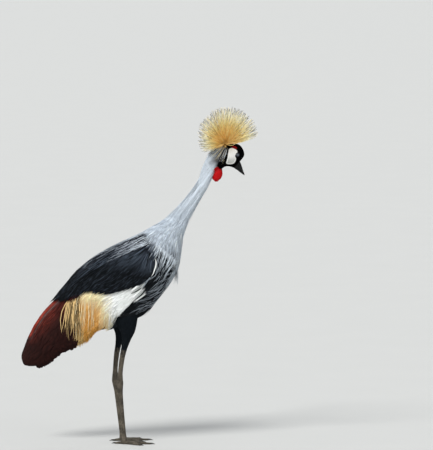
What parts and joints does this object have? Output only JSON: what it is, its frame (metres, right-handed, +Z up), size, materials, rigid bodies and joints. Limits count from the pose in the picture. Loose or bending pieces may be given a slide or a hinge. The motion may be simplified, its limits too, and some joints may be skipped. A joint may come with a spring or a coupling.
{
  "type": "standing grey crowned crane",
  "caption": "Life-size still model of a standing grey crowned crane, looking down, with folded wings and a fan of straw-coloured crown bristles.",
  "frame": {"origin": "on the floor, under the middle of the crane's length and breadth", "axes": "+X the way the crane faces, +Y towards its left side, +Z up"},
  "size_m": [0.7566, 0.2004, 1.0768],
  "materials": {
    "velvet": "short velvety black plumage",
    "bare_skin": "bare white skin, finely wrinkled",
    "eye": "wet pale iris round a black pupil",
    "bill": "dark horn, faintly glossy",
    "wattle": "bare red wrinkled skin",
    "bristle": "stiff straw-coloured bristles",
    "grey_plumage": "soft pale grey plumage",
    "body_plumage": "slate plumage over the body",
    "dark_feather": "blackish vaned feathers",
    "white_feather": "white vaned feathers",
    "golden_feather": "loose golden plumes",
    "chestnut_feather": "dark chestnut vaned feathers",
    "thigh_plumage": "short blackish plumage",
    "leg_skin": "dark scaly skin",
    "claw": "dark horn"
  },
  "bodies": {
    "root": {"head": "velvet", "cheek_left": "bare_skin", "cheek_right": "bare_skin", "eye_left": "eye", "eye_right": "eye", "bill_upper": "bill", "bill_lower": "bill", "wattle": "wattle", "crown": "bristle", "neck_upper": "grey_plumage", "neck_middle": "grey_plumage", "neck_lower": "grey_plumage", "trunk": "body_plumage", "wing_left": "dark_feather", "wing_right": "dark_feather", "coverts_left": "white_feather", "coverts_right": "white_feather", "plumes_left": "golden_feather", "plumes_right": "golden_feather", "secondaries_left": "chestnut_feather", "secondaries_right": "chestnut_feather", "primaries_left": "dark_feather", "primaries_right": "dark_feather", "tail": "dark_feather", "thigh_left": "thigh_plumage", "thigh_right": "thigh_plumage", "shank_left": "leg_skin", "shank_right": "leg_skin", "tarsus_left": "leg_skin", "tarsus_right": "leg_skin", "foot_left": "leg_skin", "foot_right": "leg_skin", "claw_inner_left": "claw", "claw_middle_left": "claw", "claw_outer_left": "claw", "claw_hind_left": "claw", "claw_inner_right": "claw", "claw_middle_right": "claw", "claw_outer_right": "claw", "claw_hind_right": "claw"}
  },
  "joints": []
}
